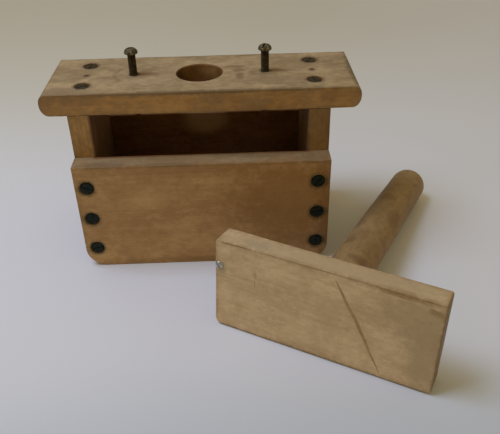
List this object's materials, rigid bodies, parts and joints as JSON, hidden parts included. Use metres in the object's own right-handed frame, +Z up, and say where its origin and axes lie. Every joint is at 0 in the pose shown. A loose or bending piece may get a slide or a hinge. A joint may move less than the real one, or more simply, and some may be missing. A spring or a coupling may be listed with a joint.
{
  "type": "butter mold",
  "caption": "Wooden box butter mold with a window under its top board, slotted adjusting bolts, and a separate plunger with a rectangular plate on a round handle, lying in front.",
  "frame": {"origin": "centre of the box's footprint, on the table", "axes": "+X to the right along the box, +Y from the front wall to the back wall, +Z up through the handle hole"},
  "size_m": [0.2407, 0.1953, 0.1258],
  "materials": {
    "top_wood": "greyed, scrubbed hardwood, long grain",
    "end_wood": "oiled hardwood, upright grain",
    "wall_wood": "butter-soaked hardwood, long grain",
    "plate_wood": "pale scrubbed maple",
    "handle_wood": "hand-darkened turned wood",
    "tarnished_screws": "blackened green tarnish",
    "iron_nails": "rusted",
    "brass_bolts": "dark worn brass, bright on the heads",
    "bright_steel": "dull bright steel"
  },
  "bodies": {
    "box": {"top_board": "top_wood", "left_end_board": "end_wood", "right_end_board": "end_wood", "front_board": "wall_wood", "back_board": "wall_wood", "front_left_screws": "tarnished_screws", "front_right_screws": "tarnished_screws", "back_left_screws": "tarnished_screws", "back_right_screws": "tarnished_screws", "top_left_screws": "tarnished_screws", "top_right_screws": "tarnished_screws", "top_left_nail": "iron_nails", "top_right_nail": "iron_nails"},
    "left_bolt": {"left_adjusting_bolt": "brass_bolts"},
    "right_bolt": {"right_adjusting_bolt": "brass_bolts"},
    "plunger": {"plunger_plate": "plate_wood", "plunger_handle": "handle_wood", "plate_screw": "bright_steel"}
  },
  "joints": [
    {"name": "left_adjuster", "type": "slide", "parent": "box", "child": "left_bolt", "axis": [0, 0, 1], "range_m": [-0.0128, 0.0125]},
    {"name": "right_adjuster", "type": "slide", "parent": "box", "child": "right_bolt", "axis": [0, 0, 1], "range_m": [-0.0128, 0.0125]},
    {"name": "plunger_stroke", "type": "slide", "parent": "box", "child": "plunger", "axis": [-0.4749, -0.8747, 0.0972], "range_m": [0, 0.0714]}
  ]
}
